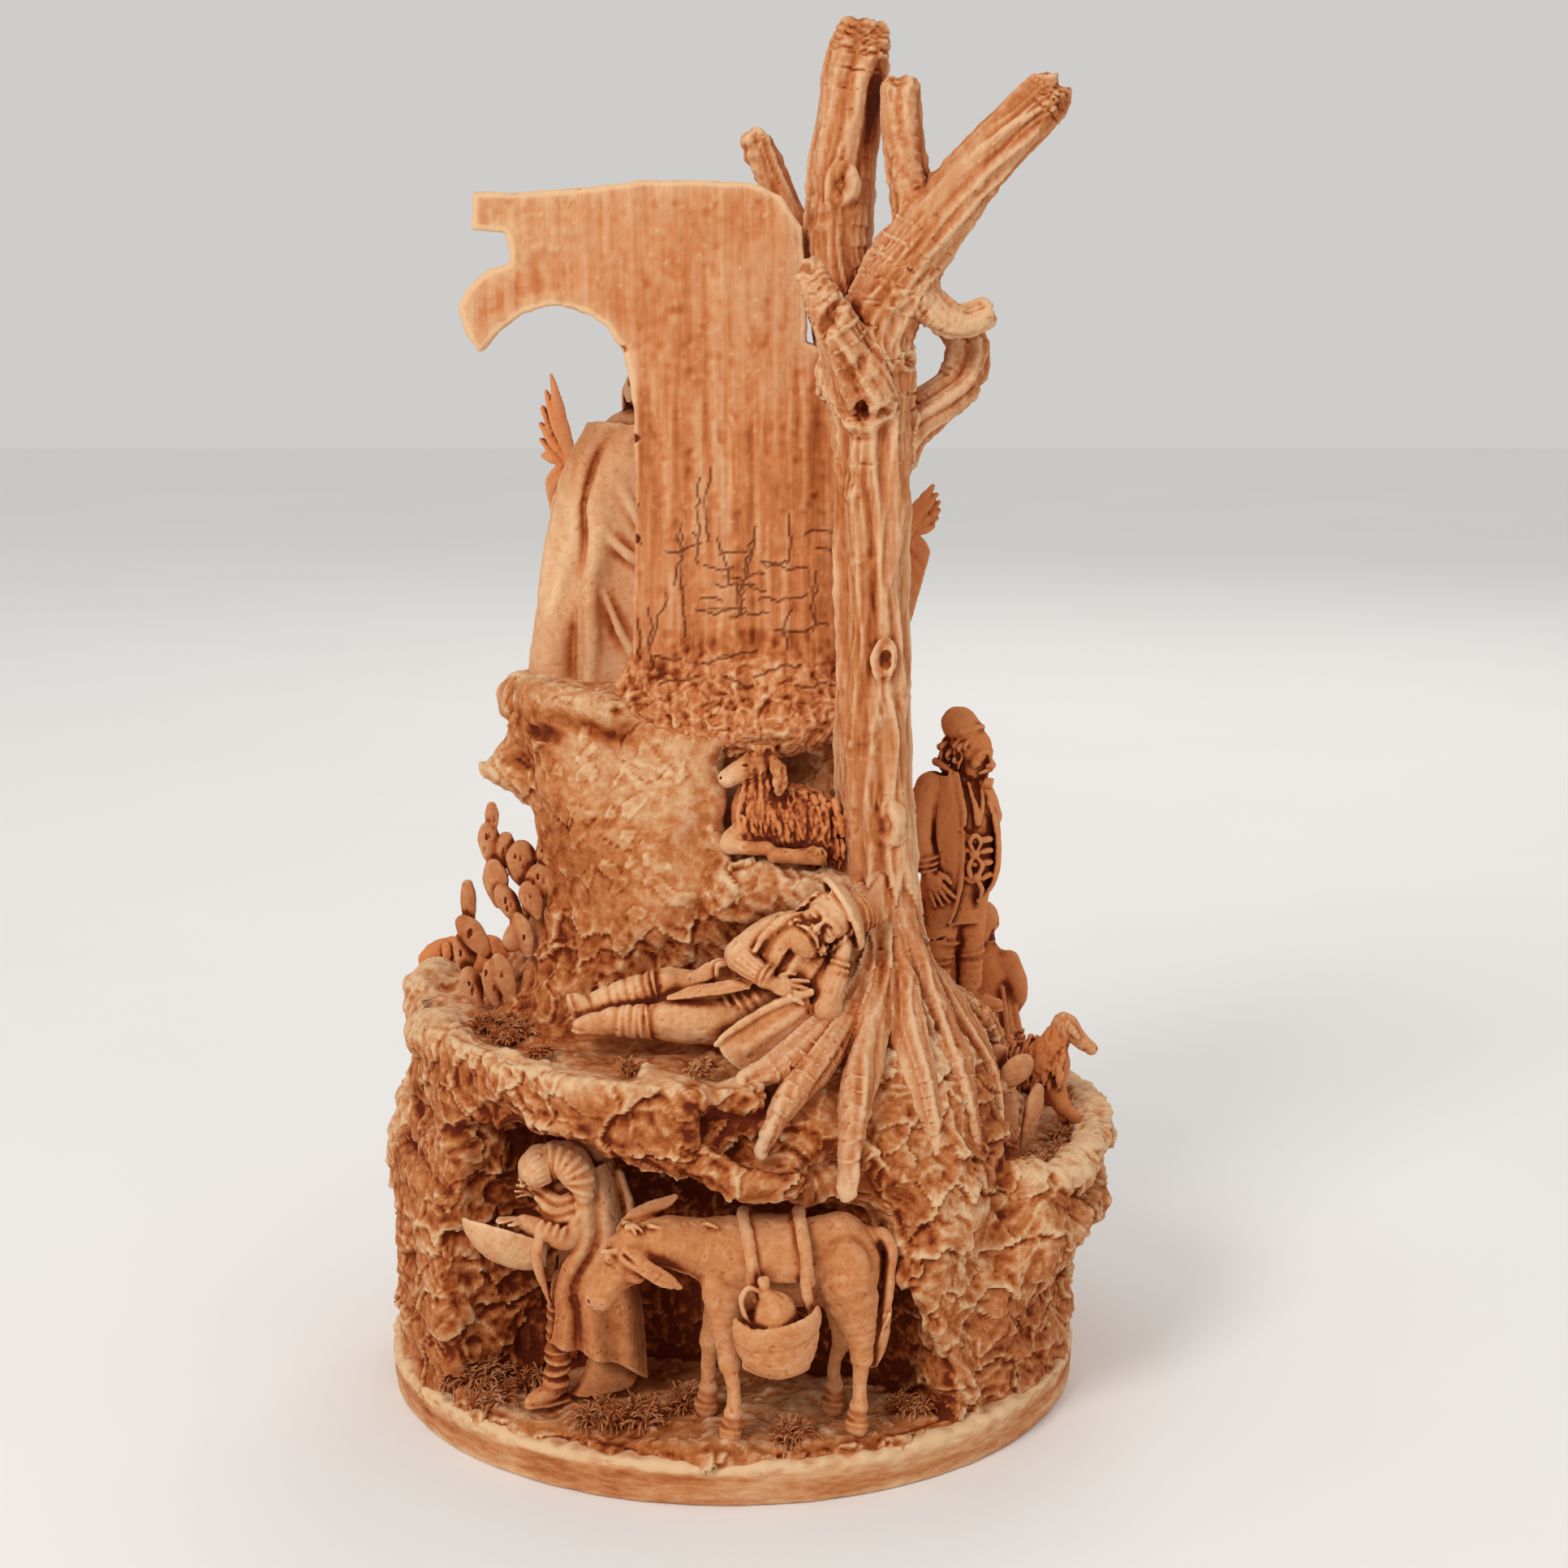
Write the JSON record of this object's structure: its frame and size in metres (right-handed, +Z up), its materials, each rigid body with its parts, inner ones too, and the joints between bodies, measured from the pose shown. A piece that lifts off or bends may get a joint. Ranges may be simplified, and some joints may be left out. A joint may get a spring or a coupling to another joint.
{
  "type": "terracotta nativity group",
  "caption": "Fired clay group on a round base: rock with a cave, a ruined wall, a bare tree, people, animals, cacti and grass.",
  "frame": {"origin": "centre of the round base, on the surface that it stands on", "axes": "+Z up; the cave, the donkey and the bare face of the wall look towards -Y; +X is to the right from there"},
  "size_m": [0.3329, 0.319, 0.5992],
  "materials": {
    "base_clay": "fired red earthenware, wiped smooth with a wet brush, pale slip on the lip",
    "rock_clay": "fired red earthenware, torn and pressed by hand, pale slip on the raised edges",
    "wall_clay": "fired red earthenware slab, brushed downwards, cracked near its foot",
    "bark_clay": "fired red earthenware with drawn bark ridges",
    "plant_clay": "fired red earthenware, pinched and pulled strands and pads",
    "figure_clay": "fired red earthenware, smoothed, with a thin pale slip",
    "shaded_figure_clay": "fired red earthenware, darker, with no slip"
  },
  "bodies": {
    "root": {"plinth": "base_clay", "lower_rock": "rock_clay", "right_terrace": "rock_clay", "left_outcrop": "rock_clay", "upper_rock": "rock_clay", "ruin_wall": "wall_clay", "trunk": "bark_clay", "roots": "bark_clay", "tall_branch": "bark_clay", "forked_branch": "bark_clay", "thin_branch": "bark_clay", "looped_branch": "bark_clay", "cut_branch": "bark_clay", "snag_branch": "bark_clay", "donkey_body": "figure_clay", "donkey_legs": "figure_clay", "donkey_ears": "figure_clay", "donkey_tail": "figure_clay", "pack_cloth": "figure_clay", "pack_bag": "figure_clay", "water_jug": "figure_clay", "winnower_body": "figure_clay", "winnower_legs": "figure_clay", "winnower_robe": "figure_clay", "winnower_scarf": "figure_clay", "winnowing_basket": "figure_clay", "sleeper_body": "figure_clay", "sleeper_legs": "figure_clay", "sleeper_coat": "figure_clay", "sleeper_head": "figure_clay", "sleeper_hat": "figure_clay", "sheep_body": "shaded_figure_clay", "sheep_head": "figure_clay", "sheep_legs": "figure_clay", "peasant_body": "shaded_figure_clay", "peasant_legs": "shaded_figure_clay", "peasant_coat": "shaded_figure_clay", "peasant_head": "shaded_figure_clay", "peasant_cap": "shaded_figure_clay", "goat_body": "shaded_figure_clay", "goat_head": "figure_clay", "goat_legs": "shaded_figure_clay", "seated_figure": "shaded_figure_clay", "left_angel_robe": "figure_clay", "left_angel_head": "figure_clay", "left_angel_wings": "figure_clay", "right_angel_robe": "figure_clay", "right_angel_head": "figure_clay", "right_angel_wings": "figure_clay", "mother": "figure_clay", "father": "figure_clay", "manger": "figure_clay", "left_cactus": "plant_clay", "right_cactus": "plant_clay", "ledge_grass": "plant_clay", "cave_grass": "plant_clay", "terrace_grass": "plant_clay", "resting_sheep": "shaded_figure_clay"}
  },
  "joints": []
}
